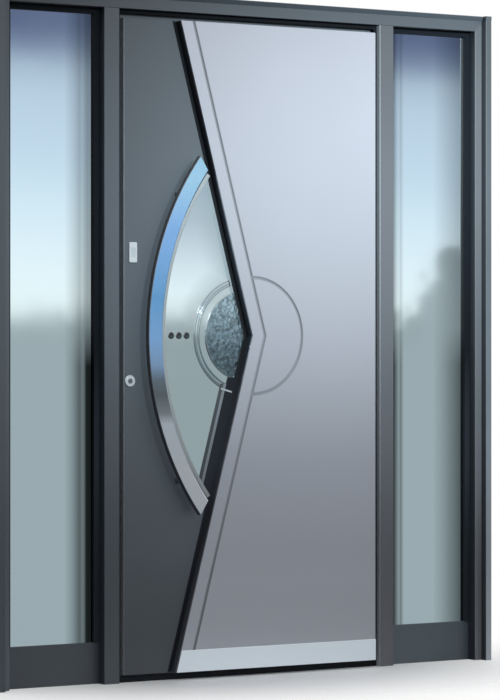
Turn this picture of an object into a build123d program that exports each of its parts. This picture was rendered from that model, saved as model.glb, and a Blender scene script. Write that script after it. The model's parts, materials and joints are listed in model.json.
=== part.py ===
"""Hinged aluminium entrance door with an arrow-shaped raised panel, a bow handle over a lens of glass
and a fixed glazed sidelight on each side. Millimetres, X to the right seen from outside, Y into the
building, Z up. The origin is on the underside of the threshold, in the middle of the frame."""

import os
from math import cos, radians, sin, sqrt, tan

from build123d import *

os.makedirs("parts", exist_ok=True)

# Frame
frame_depth = 100.0
clear_height = 2340.0
door_clear = 1092.0
sidelight_clear = 368.0
mullion_face = 60.0
jamb_face = 30.0
casing_face = 26.0
casing_proud = 28.0
head_casing_face = 16.0
head_casing_proud = 12.0
head_casing_lip = 2.0
profile_round = 2.0

# Sidelight glazing
rail_height = 144.0
rail_setback = 42.0
rail_lip = 5.0
glass_thickness = 28.0
stop_width = 21.0
stop_depth = 12.0
glass_cover = 15.0
bead_depth = 20.0
glass_edge_room = 3.0

# Threshold and door stop
threshold_height = 20.0
threshold_setback = 25.0
door_stop_width = 14.0
door_stop_front = 22.0
door_stop_depth = 12.0
seal_width = 9.0
seal_depth = 5.0

# Leaf
leaf_room = 6.0
leaf_back_rim = 20.0
leaf_top_rim = 24.0
dark_face_setback = 16.0
silver_proud = 8.0
leaf_frame_front = 44.0
stile_width = 80.0
bottom_rail_height = 100.0
infill_recess = 6.0

# Arrow edge of the raised panel
arrow_tip_x = -6.0
arrow_tip_height = 1206.0
arrow_angle = 15.0
channel_width = 22.0
channel_depth = 14.0
silver_thickness = 8.0
core_setback = 3.0
groove_offset = 46.5
groove_width = 6.0
groove_depth = 3.0
circle_radius = 207.0
kick_plate_height = 76.0
kick_plate_thickness = 3.0

# Bow handle
bow_radius = 1051.0
bow_left_x = -454.5
bow_width = 56.0
bow_thickness = 22.0
bow_standoff = 38.0
bow_end_rise = 629.5
bow_end_angle = 32.0
bow_bevel = 4.0
post_diameter = 18.0
post_inset = 20.0
post_rise = 500.0

# Lens glazing
lens_edge_gap = 43.5
lens_channel_rest = 12.0
lens_glass_step = 4.0
lens_glass_thickness = 44.0
lens_fit = 0.3
lens_gasket_width = 6.0
lens_gasket_lip = 1.0
lens_bead_width = 14.0
textured_radius = 157.0
textured_thickness = 3.0

# Lock, reader and inner handle
lock_height = 1048.0
lock_inset = 23.0
rosette_diameter = 40.0
rosette_thickness = 6.0
rosette_bevel = 1.5
keyway_width = 2.6
keyway_length = 8.0
keyway_depth = 4.0
cylinder_diameter = 17.0
cylinder_proud = 3.0
cylinder_fit = 0.3
reader_height = 1495.0
reader_inset = 35.0
reader_width = 32.0
reader_length = 71.0
reader_thickness = 6.0
reader_round = 5.0
reader_window_width = 18.0
reader_window_length = 34.0
reader_pocket_depth = 2.0
reader_glass_thickness = 1.4
handle_plate_width = 40.0
handle_plate_length = 240.0
handle_plate_thickness = 8.0
handle_plate_round = 8.0
lever_rise = 72.0
lever_neck_diameter = 18.0
lever_neck_length = 46.0
lever_length = 130.0
lever_height = 20.0
lever_thickness = 14.0
lever_bevel = 4.0
faceplate_width = 24.0
faceplate_length = 1700.0
faceplate_thickness = 3.0
strike_length = 240.0

# Hinges
hinge_count = 3
hinge_end_distance = 240.0
hinge_half_height = 48.0
hinge_half_gap = 2.0
hinge_axis_gap = 4.0
hinge_axis_lift = 14.0
knuckle_radius = 8.5
hinge_plate_thickness = 4.0
hinge_plate_length = 44.0
hinge_plate_start = 10.0
hinge_arm_foot = 24.0
pin_diameter = 8.0
pin_fit = 0.05
pin_cap_height = 5.0

# Room that a cut takes past the piece
overrun = 5.0

# Places worked out from the sizes
face_y = -frame_depth / 2
mullion_inner_x = door_clear / 2
mullion_outer_x = mullion_inner_x + mullion_face
jamb_inner_x = mullion_outer_x + sidelight_clear
casing_inner_x = jamb_inner_x + jamb_face
half_width = casing_inner_x + casing_face
total_height = clear_height + jamb_face + casing_face
casing_low_z = total_height - head_casing_face

rail_lip_back = rail_setback + rail_lip
glass_back = rail_lip_back + glass_thickness
glass_bottom_z = rail_height - glass_cover

leaf_half = mullion_inner_x - leaf_room
skin_half = leaf_half - leaf_back_rim
leaf_low_z = threshold_height + leaf_room
leaf_high_z = clear_height - leaf_room
skin_high_z = leaf_high_z - leaf_top_rim
stile_inner_x = leaf_half - stile_width
infill_low_z = leaf_low_z + bottom_rail_height
infill_high_z = leaf_high_z - stile_width
infill_back = frame_depth - infill_recess

arrow_slope = tan(radians(arrow_angle))
arrow_slant = cos(radians(arrow_angle))
core_front = silver_thickness - silver_proud
channel_front = dark_face_setback + channel_depth

bow_centre_x = bow_left_x + bow_radius
bow_back = dark_face_setback - bow_standoff
lens_radius = bow_radius - bow_width - lens_edge_gap
lens_glass_front = channel_front + lens_glass_step
lens_glass_back = lens_glass_front + lens_glass_thickness

lock_x = -skin_half + lock_inset
reader_x = -skin_half + reader_inset
handle_x = -leaf_half + stile_width / 2

hinge_x = mullion_inner_x + hinge_axis_gap
hinge_y = face_y + frame_depth + hinge_axis_lift
hinge_height = 2 * hinge_half_height + hinge_half_gap
hinge_low_z = leaf_low_z + hinge_end_distance
hinge_pitch = (leaf_high_z - leaf_low_z - 2 * hinge_end_distance - hinge_height) / (hinge_count - 1)


def upright(depth):
    """A plane seen from outside, this far behind the outer face of the frame."""
    return Plane(origin=(0, face_y + depth, 0), x_dir=(1, 0, 0), z_dir=(0, -1, 0))


def save(piece, name):
    piece.part.label = name
    export_step(piece.part, f"parts/{name}.step")


def panel_outline(points, mode=Mode.ADD):
    """Straight edges through the points, closed into a face of the sketch being built."""
    Polygon(*points, align=None, mode=mode)


def arrow_x(height, offset=0.0):
    """Place of the arrow edge at a height, moved square to the edge, to the right where positive."""
    return arrow_tip_x + offset / arrow_slant - abs(height - arrow_tip_height) * arrow_slope


def arrow_edge(low, high, offset=0.0):
    """The three points of the arrow edge between two heights, from the bottom up."""
    return [(arrow_x(z, offset), z) for z in (low, arrow_tip_height, high)]


def lens_face(inset, edge_inset=None):
    """The lens between an arc beside the bow and the black channel, drawn smaller by the inset.

    Along the channel the edge inset counts instead, where one is given."""
    radius = lens_radius - inset
    tip_x = arrow_x(arrow_tip_height, -lens_channel_rest - (inset if edge_inset is None else edge_inset))
    reach = tip_x - bow_centre_x
    root = sqrt((reach * arrow_slope) ** 2 - (1 + arrow_slope**2) * (reach**2 - radius**2))
    rise = (reach * arrow_slope + root) / (1 + arrow_slope**2)
    top = (tip_x - rise * arrow_slope, arrow_tip_height + rise)
    bottom = (top[0], arrow_tip_height - rise)
    with BuildSketch(mode=Mode.PRIVATE) as lens:
        with BuildLine():
            Polyline(bottom, (tip_x, arrow_tip_height), top)
            ThreePointArc(top, (bow_centre_x - radius, arrow_tip_height), bottom)
        make_face()
    return lens.sketch_local


# Jambs, mitred at the top, with a casing strip on their outer half that ends under the head casing
for side, hand in (("left", -1), ("right", 1)):
    with BuildPart() as jamb:
        with BuildSketch(upright(frame_depth)):
            panel_outline(
                [
                    (hand * jamb_inner_x, 0),
                    (hand * half_width, 0),
                    (hand * half_width, total_height),
                    (hand * jamb_inner_x, clear_height),
                ]
            )
        extrude(amount=frame_depth)
        front_edges = jamb.faces().sort_by(Axis.Y)[0].edges().filter_by(Axis.Z)
        fillet(front_edges.sort_by(Axis.X)[0 if hand > 0 else -1], radius=profile_round)
    save(jamb, f"{side}_jamb")

    with BuildPart() as casing:
        with BuildSketch(upright(0)):
            panel_outline(
                [
                    (hand * casing_inner_x, 0),
                    (hand * half_width, 0),
                    (hand * half_width, casing_low_z),
                    (hand * casing_inner_x, casing_low_z),
                ]
            )
        extrude(amount=casing_proud)
        fillet(casing.faces().sort_by(Axis.Y)[0].edges().filter_by(Axis.Z), radius=profile_round)
    save(casing, f"{side}_casing")

with BuildPart() as head_rail:
    with BuildSketch(upright(frame_depth)):
        panel_outline(
            [
                (-half_width, total_height),
                (half_width, total_height),
                (jamb_inner_x, clear_height),
                (-jamb_inner_x, clear_height),
            ]
        )
    extrude(amount=frame_depth)
    front_edges = head_rail.faces().sort_by(Axis.Y)[0].edges().filter_by(Axis.X)
    fillet(front_edges.sort_by(Axis.Z)[0], radius=profile_round)
save(head_rail, "head_rail")

# Head casing over the full width, its face sloping back to the head rail
with BuildPart() as head_casing:
    with BuildSketch(Plane.YZ.offset(-half_width)):
        panel_outline(
            [
                (face_y, casing_low_z),
                (face_y - head_casing_lip, casing_low_z),
                (face_y - head_casing_proud, total_height),
                (face_y, total_height),
            ]
        )
    extrude(amount=2 * half_width)
    fillet(head_casing.edges().filter_by(Axis.X).group_by(Axis.Z)[-1].sort_by(Axis.Y)[0], radius=profile_round)
save(head_casing, "head_casing")

# Mullions between the door and the sidelights; the left one takes the strike plate in a pocket
strike_low_z = lock_height - strike_length / 2
faceplate_low_z = lock_height - faceplate_length / 2
plate_y = face_y + (leaf_frame_front + frame_depth) / 2
for side, hand in (("left", -1), ("right", 1)):
    with BuildPart() as mullion:
        with BuildSketch(Plane.XY):
            with Locations((hand * (mullion_inner_x + mullion_face / 2), 0)):
                Rectangle(mullion_face, frame_depth)
        extrude(amount=clear_height)
        fillet(mullion.faces().sort_by(Axis.Y)[0].edges().filter_by(Axis.Z), radius=profile_round)
        if hand < 0:
            with BuildSketch(Plane.XY.offset(strike_low_z)):
                with Locations((-mullion_inner_x - faceplate_thickness / 2, plate_y)):
                    Rectangle(faceplate_thickness, faceplate_width)
            extrude(amount=strike_length, mode=Mode.SUBTRACT)
    save(mullion, f"{side}_mullion")

with BuildPart() as strike_plate:
    with BuildSketch(Plane.XY.offset(strike_low_z)):
        with Locations((-mullion_inner_x - faceplate_thickness / 2, plate_y)):
            Rectangle(faceplate_thickness, faceplate_width)
    extrude(amount=strike_length)
save(strike_plate, "strike_plate")

with BuildPart() as door_threshold:
    with BuildSketch(Plane.XY):
        with Locations((0, face_y + (threshold_setback + frame_depth) / 2)):
            Rectangle(door_clear, frame_depth - threshold_setback)
    extrude(amount=threshold_height)
    chamfer(
        door_threshold.faces().sort_by(Axis.Z)[-1].edges().filter_by(Axis.X).sort_by(Axis.Y)[0],
        length=profile_round,
    )
save(door_threshold, "door_threshold")

# Sidelights: bottom rail with a glazing rebate, glass, black stop outside and beads inside
for side, hand in (("left", -1), ("right", 1)):
    pane_x = hand * (mullion_outer_x + sidelight_clear / 2)

    with BuildPart() as bottom_rail:
        with BuildSketch(Plane.YZ.offset(pane_x - sidelight_clear / 2)):
            panel_outline(
                [
                    (face_y + rail_setback, 0),
                    (face_y + frame_depth, 0),
                    (face_y + frame_depth, glass_bottom_z),
                    (face_y + rail_lip_back, glass_bottom_z),
                    (face_y + rail_lip_back, rail_height),
                    (face_y + rail_setback, rail_height),
                ]
            )
        extrude(amount=sidelight_clear)
        rail_front = bottom_rail.faces().sort_by(Axis.Y)[0]
        fillet(rail_front.edges().filter_by(Axis.X).sort_by(Axis.Z)[-1], radius=profile_round)
    save(bottom_rail, f"{side}_bottom_rail")

    with BuildPart() as glass:
        with BuildSketch(upright(glass_back)):
            with Locations((pane_x, (glass_bottom_z + clear_height - glass_edge_room) / 2)):
                Rectangle(
                    sidelight_clear - 2 * glass_edge_room,
                    clear_height - glass_edge_room - glass_bottom_z,
                )
        extrude(amount=glass_thickness)
    save(glass, f"{side}_glass")

    with BuildPart() as glazing_stop:
        with BuildSketch(upright(rail_lip_back)):
            with Locations((pane_x, (rail_height + clear_height) / 2)):
                Rectangle(sidelight_clear, clear_height - rail_height)
            with Locations((pane_x, (rail_height + clear_height - stop_width) / 2)):
                Rectangle(
                    sidelight_clear - 2 * stop_width,
                    clear_height - rail_height - stop_width,
                    mode=Mode.SUBTRACT,
                )
        extrude(amount=stop_depth)
    save(glazing_stop, f"{side}_glazing_stop")

    with BuildPart() as glazing_beads:
        with BuildSketch(upright(glass_back + bead_depth)):
            with Locations((pane_x, (glass_bottom_z + clear_height) / 2)):
                Rectangle(sidelight_clear, clear_height - glass_bottom_z)
                Rectangle(
                    sidelight_clear - 2 * stop_width,
                    clear_height - glass_bottom_z - 2 * stop_width,
                    mode=Mode.SUBTRACT,
                )
        extrude(amount=bead_depth)
        bead_back = glazing_beads.faces().sort_by(Axis.Y)[-1]
        chamfer(bead_back.inner_wires()[0].edges(), length=bead_depth / 2)
    save(glazing_beads, f"{side}_glazing_beads")

# Door stop round the opening, with the seal that the leaf closes against on its inner face
with BuildPart() as door_stop_seal:
    with BuildSketch(upright(door_stop_front + door_stop_depth)):
        with Locations((0, (threshold_height + clear_height) / 2)):
            Rectangle(door_clear, clear_height - threshold_height)
        with Locations((0, (threshold_height + clear_height - door_stop_width) / 2)):
            Rectangle(
                door_clear - 2 * door_stop_width,
                clear_height - threshold_height - door_stop_width,
                mode=Mode.SUBTRACT,
            )
    extrude(amount=door_stop_depth)
    with BuildSketch(upright(door_stop_front + door_stop_depth)):
        with Locations((0, (threshold_height + clear_height) / 2)):
            Rectangle(door_clear, clear_height - threshold_height)
        with Locations((0, (threshold_height + clear_height - seal_width) / 2)):
            Rectangle(
                door_clear - 2 * seal_width,
                clear_height - threshold_height - seal_width,
                mode=Mode.SUBTRACT,
            )
    extrude(amount=-seal_depth)
save(door_stop_seal, "door_stop_seal")

# Leaf frame: stiles, rails and the infill that carries the lens
for side, hand in (("lock", -1), ("hinge", 1)):
    with BuildPart() as stile:
        with BuildSketch(Plane.XY.offset(leaf_low_z)):
            with Locations((hand * (leaf_half - stile_width / 2), face_y + (leaf_frame_front + frame_depth) / 2)):
                Rectangle(stile_width, frame_depth - leaf_frame_front)
        extrude(amount=leaf_high_z - leaf_low_z)
        fillet(stile.faces().sort_by(Axis.Y)[-1].edges().filter_by(Axis.Z), radius=profile_round)
        if hand < 0:
            with BuildSketch(Plane.XY.offset(faceplate_low_z)):
                with Locations((-leaf_half + faceplate_thickness / 2, plate_y)):
                    Rectangle(faceplate_thickness, faceplate_width)
            extrude(amount=faceplate_length, mode=Mode.SUBTRACT)
    save(stile, f"{side}_stile")

with BuildPart() as lock_faceplate:
    with BuildSketch(Plane.XY.offset(faceplate_low_z)):
        with Locations((-leaf_half + faceplate_thickness / 2, plate_y)):
            Rectangle(faceplate_thickness, faceplate_width)
    extrude(amount=faceplate_length)
save(lock_faceplate, "lock_faceplate")

for name, low, high in (
    ("leaf_bottom_rail", leaf_low_z, infill_low_z),
    ("leaf_top_rail", infill_high_z, leaf_high_z),
):
    with BuildPart() as leaf_rail:
        with BuildSketch(upright(frame_depth)):
            with Locations((0, (low + high) / 2)):
                Rectangle(2 * stile_inner_x, high - low)
        extrude(amount=frame_depth - leaf_frame_front)
        fillet(leaf_rail.faces().sort_by(Axis.Y)[-1].edges().filter_by(Axis.X), radius=profile_round)
    save(leaf_rail, name)

with BuildPart() as leaf_infill:
    with BuildSketch(upright(infill_back)):
        with Locations((0, (infill_low_z + infill_high_z) / 2)):
            Rectangle(2 * stile_inner_x, infill_high_z - infill_low_z)
        add(lens_face(0), mode=Mode.SUBTRACT)
    extrude(amount=infill_back - leaf_frame_front)
save(leaf_infill, "leaf_infill")

# Outer faces of the leaf
with BuildPart() as dark_panel:
    with BuildSketch(upright(leaf_frame_front)):
        panel_outline(
            [(-skin_half, leaf_low_z)]
            + arrow_edge(leaf_low_z, skin_high_z, -channel_width)
            + [(-skin_half, skin_high_z)]
        )
        add(lens_face(0), mode=Mode.SUBTRACT)
    extrude(amount=leaf_frame_front - dark_face_setback)
    front_edges = dark_panel.faces().sort_by(Axis.Y)[0].edges()
    fillet(front_edges.filter_by(Axis.Z).sort_by(Axis.X)[0], radius=profile_round)
save(dark_panel, "dark_panel")

with BuildPart() as arrow_channel:
    with BuildSketch(upright(leaf_frame_front)):
        panel_outline(
            arrow_edge(leaf_low_z, skin_high_z, -channel_width)
            + arrow_edge(leaf_low_z, skin_high_z, core_setback)[::-1]
        )
        add(lens_face(0), mode=Mode.SUBTRACT)
    extrude(amount=leaf_frame_front - channel_front)
save(arrow_channel, "arrow_channel")

with BuildPart() as silver_core:
    with BuildSketch(upright(leaf_frame_front)):
        panel_outline(
            arrow_edge(leaf_low_z, skin_high_z, core_setback)
            + [(skin_half, skin_high_z), (skin_half, leaf_low_z)]
        )
    extrude(amount=leaf_frame_front - core_front)
save(silver_core, "silver_core")

# Silver sheet with the groove beside its arrow edge and the part circle about the arrow's tip
with BuildPart() as silver_panel:
    with BuildSketch(upright(core_front)):
        panel_outline(
            arrow_edge(leaf_low_z, skin_high_z)
            + [(skin_half, skin_high_z), (skin_half, leaf_low_z)]
        )
    extrude(amount=silver_thickness)
    sheet_front = upright(-silver_proud)
    with BuildSketch(sheet_front):
        panel_outline(
            arrow_edge(leaf_low_z - overrun, skin_high_z + overrun, groove_offset)
            + arrow_edge(leaf_low_z - overrun, skin_high_z + overrun, groove_offset + groove_width)[::-1]
        )
    extrude(amount=-groove_depth, mode=Mode.SUBTRACT)
    with BuildSketch(sheet_front):
        with Locations((arrow_tip_x, arrow_tip_height)):
            Circle(circle_radius + groove_width / 2)
            Circle(circle_radius - groove_width / 2, mode=Mode.SUBTRACT)
        panel_outline(
            arrow_edge(leaf_low_z, skin_high_z, groove_offset)
            + [(skin_half, skin_high_z), (skin_half, leaf_low_z)],
            mode=Mode.INTERSECT,
        )
    extrude(amount=-groove_depth, mode=Mode.SUBTRACT)
save(silver_panel, "silver_panel")

with BuildPart() as kick_plate:
    kick_high_z = leaf_low_z + kick_plate_height
    with BuildSketch(upright(-silver_proud)):
        panel_outline(
            [
                (arrow_x(leaf_low_z), leaf_low_z),
                (skin_half, leaf_low_z),
                (skin_half, kick_high_z),
                (arrow_x(kick_high_z), kick_high_z),
            ]
        )
    extrude(amount=kick_plate_thickness)
    fillet(kick_plate.faces().sort_by(Axis.Y)[0].edges().filter_by(Axis.X), radius=kick_plate_thickness / 3)
save(kick_plate, "kick_plate")

# Lens glazing
with BuildPart() as lens_glass:
    with BuildSketch(upright(lens_glass_back)):
        add(lens_face(lens_fit))
    extrude(amount=lens_glass_thickness)
save(lens_glass, "lens_glass")

with BuildPart() as textured_disc:
    with BuildSketch(upright(lens_glass_front)):
        with Locations((arrow_x(arrow_tip_height, -lens_channel_rest), arrow_tip_height)):
            Circle(textured_radius)
        add(lens_face(lens_gasket_width + 2 * lens_fit, lens_gasket_lip + 2 * lens_fit), mode=Mode.INTERSECT)
    extrude(amount=textured_thickness)
save(textured_disc, "textured_disc")

for name, width, edge_width, back, depth in (
    ("lens_gasket", lens_gasket_width, lens_gasket_lip, lens_glass_front, lens_glass_step),
    ("lens_inner_bead", lens_bead_width, lens_bead_width, frame_depth, frame_depth - lens_glass_back),
):
    with BuildPart() as lens_ring:
        with BuildSketch(upright(back)):
            add(lens_face(lens_fit))
            add(lens_face(lens_fit + width, lens_fit + edge_width), mode=Mode.SUBTRACT)
        extrude(amount=depth)
    save(lens_ring, name)

# Bow handle, cut slantwise at its ends, on two posts
with BuildPart() as bow_handle:
    inner_radius = bow_radius - bow_width
    end_x = -sqrt(bow_radius**2 - bow_end_rise**2)
    cut_x = sin(radians(bow_end_angle))
    cut_z = -cos(radians(bow_end_angle))
    along = end_x * cut_x + bow_end_rise * cut_z
    cut_length = -along - sqrt(along**2 - (bow_radius**2 - inner_radius**2))
    outer_end = (bow_centre_x + end_x, bow_end_rise)
    inner_end = (outer_end[0] + cut_length * cut_x, outer_end[1] + cut_length * cut_z)
    with BuildSketch(upright(bow_back)):
        with BuildLine():
            outer_arc = ThreePointArc(
                (outer_end[0], arrow_tip_height + outer_end[1]),
                (bow_centre_x - bow_radius, arrow_tip_height),
                (outer_end[0], arrow_tip_height - outer_end[1]),
            )
            inner_arc = ThreePointArc(
                (inner_end[0], arrow_tip_height + inner_end[1]),
                (bow_centre_x - inner_radius, arrow_tip_height),
                (inner_end[0], arrow_tip_height - inner_end[1]),
            )
            Line(outer_arc @ 0, inner_arc @ 0)
            Line(outer_arc @ 1, inner_arc @ 1)
        make_face()
    extrude(amount=bow_thickness)
    chamfer(bow_handle.faces().sort_by(Axis.Y)[0].edges(), length=bow_bevel)
save(bow_handle, "bow_handle")

with BuildPart() as bow_posts:
    post_x = bow_centre_x - sqrt((bow_radius - post_inset) ** 2 - post_rise**2)
    with BuildSketch(upright(dark_face_setback)):
        with Locations((post_x, arrow_tip_height - post_rise), (post_x, arrow_tip_height + post_rise)):
            Circle(post_diameter / 2)
    extrude(amount=bow_standoff)
save(bow_posts, "bow_posts")

# Lock and finger reader on the dark panel
with BuildPart() as lock_rosette:
    with BuildSketch(upright(dark_face_setback)):
        with Locations((lock_x, lock_height)):
            Circle(rosette_diameter / 2)
            Circle(cylinder_diameter / 2 + cylinder_fit, mode=Mode.SUBTRACT)
    extrude(amount=rosette_thickness)
    rim = lock_rosette.faces().sort_by(Axis.Y)[0].outer_wire().edges()
    chamfer(rim, length=rosette_bevel)
save(lock_rosette, "lock_rosette")

with BuildPart() as lock_cylinder:
    with BuildSketch(upright(dark_face_setback)):
        with Locations((lock_x, lock_height)):
            Circle(cylinder_diameter / 2)
    extrude(amount=rosette_thickness + cylinder_proud)
    cylinder_face = lock_cylinder.faces().sort_by(Axis.Y)[0]
    chamfer(cylinder_face.edges(), length=cylinder_proud / 3)
    with BuildSketch(upright(dark_face_setback - rosette_thickness - cylinder_proud)):
        with Locations((lock_x, lock_height)):
            SlotOverall(keyway_length, keyway_width, rotation=90)
    extrude(amount=-keyway_depth, mode=Mode.SUBTRACT)
save(lock_cylinder, "lock_cylinder")

with BuildPart() as finger_reader:
    with BuildSketch(upright(dark_face_setback)):
        with Locations((reader_x, reader_height)):
            RectangleRounded(reader_width, reader_length, reader_round)
    extrude(amount=reader_thickness)
    chamfer(finger_reader.faces().sort_by(Axis.Y)[0].edges(), length=rosette_bevel)
    with BuildSketch(upright(dark_face_setback - reader_thickness)):
        with Locations((reader_x, reader_height)):
            Rectangle(reader_window_width, reader_window_length)
    extrude(amount=-reader_pocket_depth, mode=Mode.SUBTRACT)
save(finger_reader, "finger_reader")

with BuildPart() as reader_window:
    with BuildSketch(upright(dark_face_setback - reader_thickness + reader_pocket_depth)):
        with Locations((reader_x, reader_height)):
            Rectangle(reader_window_width, reader_window_length)
    extrude(amount=reader_glass_thickness)
save(reader_window, "reader_window")

# Inner handle plate, lever and cylinder on the lock stile
with BuildPart() as inner_handle_plate:
    with BuildSketch(upright(frame_depth)):
        with Locations((handle_x, lock_height + lever_rise / 2)):
            RectangleRounded(handle_plate_width, handle_plate_length, handle_plate_round)
    extrude(amount=-handle_plate_thickness)
    chamfer(inner_handle_plate.faces().sort_by(Axis.Y)[-1].edges(), length=rosette_bevel)
save(inner_handle_plate, "inner_handle_plate")

with BuildPart() as inner_lever:
    plate_back = upright(frame_depth + handle_plate_thickness)
    with BuildSketch(plate_back):
        with Locations((handle_x, lock_height + lever_rise)):
            Circle(lever_neck_diameter / 2)
    extrude(amount=-lever_neck_length)
    with BuildSketch(plate_back.offset(-lever_neck_length)):
        with Locations((handle_x + lever_length / 2 - lever_height / 2, lock_height + lever_rise)):
            SlotOverall(lever_length, lever_height)
    extrude(amount=-lever_thickness)
    chamfer(inner_lever.faces().sort_by(Axis.Y)[-1].edges(), length=lever_bevel)
save(inner_lever, "inner_lever")

with BuildPart() as inner_cylinder:
    with BuildSketch(upright(frame_depth + handle_plate_thickness)):
        with Locations((handle_x, lock_height)):
            Circle(cylinder_diameter / 2)
    extrude(amount=-cylinder_proud)
    chamfer(inner_cylinder.faces().sort_by(Axis.Y)[-1].edges(), length=cylinder_proud / 3)
    with BuildSketch(upright(frame_depth + handle_plate_thickness + cylinder_proud)):
        with Locations((handle_x, lock_height)):
            SlotOverall(keyway_length, keyway_width, rotation=90)
    extrude(amount=cylinder_proud / 2, mode=Mode.SUBTRACT)
save(inner_cylinder, "inner_cylinder")

# Three butt hinges on the inner face: frame half below, leaf half above, one pin through both
hinge_levels = [hinge_low_z + number * hinge_pitch for number in range(hinge_count)]


def hinge_plan(hand):
    """A plate, an arm and a knuckle about the hinge axis, seen from above."""
    seat_y = face_y + frame_depth
    plate_back_y = seat_y + hinge_plate_thickness
    plate_near_x = hinge_x + hand * hinge_plate_start
    plate_far_x = plate_near_x + hand * hinge_plate_length
    with BuildSketch(mode=Mode.PRIVATE) as plan:
        Polygon(
            (plate_near_x, seat_y),
            (plate_far_x, seat_y),
            (plate_far_x, plate_back_y),
            (hinge_x + hand * hinge_arm_foot, plate_back_y),
            (hinge_x, hinge_y + knuckle_radius),
            (hinge_x, hinge_y),
            align=None,
        )
        with Locations((hinge_x, hinge_y)):
            Circle(knuckle_radius)
            Circle(pin_diameter / 2 + pin_fit, mode=Mode.SUBTRACT)
    return plan.sketch_local


for name, hand, lift in (
    ("hinge_frame_plates", 1, 0),
    ("hinge_leaf_plates", -1, hinge_half_height + hinge_half_gap),
):
    with BuildPart() as hinge_plates:
        for level in hinge_levels:
            with BuildSketch(Plane.XY.offset(level + lift)):
                add(hinge_plan(hand))
            extrude(amount=hinge_half_height)
    save(hinge_plates, name)

with BuildPart() as hinge_pins:
    for level in hinge_levels:
        with BuildSketch(Plane.XY.offset(level)):
            with Locations((hinge_x, hinge_y)):
                Circle(pin_diameter / 2)
        extrude(amount=hinge_height)
        with BuildSketch(Plane.XY.offset(level)):
            with Locations((hinge_x, hinge_y)):
                Circle(knuckle_radius)
        extrude(amount=-pin_cap_height)
save(hinge_pins, "hinge_pins")
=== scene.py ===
import json
import math

import bmesh
import bpy
from mathutils import Matrix, Quaternion, Vector


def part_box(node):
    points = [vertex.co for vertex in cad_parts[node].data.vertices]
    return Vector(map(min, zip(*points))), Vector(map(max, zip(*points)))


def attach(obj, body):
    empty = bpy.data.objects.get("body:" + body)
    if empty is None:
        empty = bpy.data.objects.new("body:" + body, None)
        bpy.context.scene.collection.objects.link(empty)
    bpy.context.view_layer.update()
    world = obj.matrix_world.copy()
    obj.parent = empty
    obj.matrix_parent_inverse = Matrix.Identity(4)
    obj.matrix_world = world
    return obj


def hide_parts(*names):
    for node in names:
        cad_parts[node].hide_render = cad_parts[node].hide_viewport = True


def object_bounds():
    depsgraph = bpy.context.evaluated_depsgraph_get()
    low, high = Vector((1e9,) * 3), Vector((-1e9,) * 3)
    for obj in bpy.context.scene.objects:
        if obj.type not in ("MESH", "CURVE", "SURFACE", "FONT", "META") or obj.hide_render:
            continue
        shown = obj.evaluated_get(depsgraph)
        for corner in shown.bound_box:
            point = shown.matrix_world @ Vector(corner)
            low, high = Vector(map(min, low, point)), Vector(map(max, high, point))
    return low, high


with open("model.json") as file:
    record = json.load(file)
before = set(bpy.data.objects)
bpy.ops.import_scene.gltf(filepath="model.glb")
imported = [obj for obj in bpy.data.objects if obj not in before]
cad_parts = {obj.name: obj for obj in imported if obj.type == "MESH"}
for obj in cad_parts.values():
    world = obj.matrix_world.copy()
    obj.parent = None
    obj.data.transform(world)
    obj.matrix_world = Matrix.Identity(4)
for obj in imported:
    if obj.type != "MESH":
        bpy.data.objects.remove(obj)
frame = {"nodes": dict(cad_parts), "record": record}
cadLow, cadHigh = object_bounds()
cadNodes = frame["nodes"]
scene = bpy.context.scene
scene.view_settings.view_transform = "Standard"
print("frame loaded:", len(cadNodes), "nodes")

# The few places that the pieces below share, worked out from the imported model
arrowAngle = math.radians(15)  # slant of the arrow edge from upright
lensFit = 0.0003  # room between the lens glass and the black channel
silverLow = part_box("silver_panel")[0]
discLow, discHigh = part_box("textured_disc")
lensLow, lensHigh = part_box("lens_glass")
bowLow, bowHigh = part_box("bow_handle")
tipZ = (bowLow.z + bowHigh.z) / 2
tipX = silverLow.x + (tipZ - silverLow.z) * math.tan(arrowAngle)
lensTipX = lensHigh.x + lensFit / math.cos(arrowAngle)
discMiddle = (discLow.y + discHigh.y) / 2

# Values that the node helpers share
white = (1, 1, 1, 1)
black = (0, 0, 0, 1)
noiseRange = (0.3, 0.7)  # a noise texture seldom leaves this range
toneScale = {"reach": 2.4, "topShare": 8.0}  # rows of painted light by height stay below this height and share
faceDepth = 0.0008  # how far in from a face a point still counts as on it


def feed(tree, socket, value):
    if isinstance(value, bpy.types.NodeSocket):
        tree.links.new(value, socket)
    else:
        socket.default_value = value


def addNode(tree, kind, inputs=(), **settings):
    made = tree.nodes.new(kind)
    for key, value in settings.items():
        setattr(made, key, value)
    for label, value in dict(inputs).items():
        feed(tree, made.inputs[label], value)
    return made


def mathNode(tree, operation, *values):
    return addNode(tree, "ShaderNodeMath", enumerate(values), operation=operation).outputs[0]


def plus(tree, first, second):
    return mathNode(tree, "ADD", first, second)


def minus(tree, first, second):
    return mathNode(tree, "SUBTRACT", first, second)


def times(tree, first, second):
    return mathNode(tree, "MULTIPLY", first, second)


def divide(tree, first, second):
    return mathNode(tree, "DIVIDE", first, second)


def greater(tree, first, second):
    return mathNode(tree, "MAXIMUM", first, second)


def lengthOf(tree, across, along):
    return mathNode(tree, "SQRT", plus(tree, times(tree, across, across), times(tree, along, along)))


def vectorNode(tree, operation, first, second):
    return addNode(tree, "ShaderNodeVectorMath", {0: first, 1: second}, operation=operation).outputs[0]


def objectPlace(tree):
    return addNode(tree, "ShaderNodeTexCoord").outputs["Object"]


def splitPlace(tree, place):
    return addNode(tree, "ShaderNodeSeparateXYZ", {0: place}).outputs


def joinPlace(tree, **parts):
    return addNode(tree, "ShaderNodeCombineXYZ", parts).outputs[0]


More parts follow.
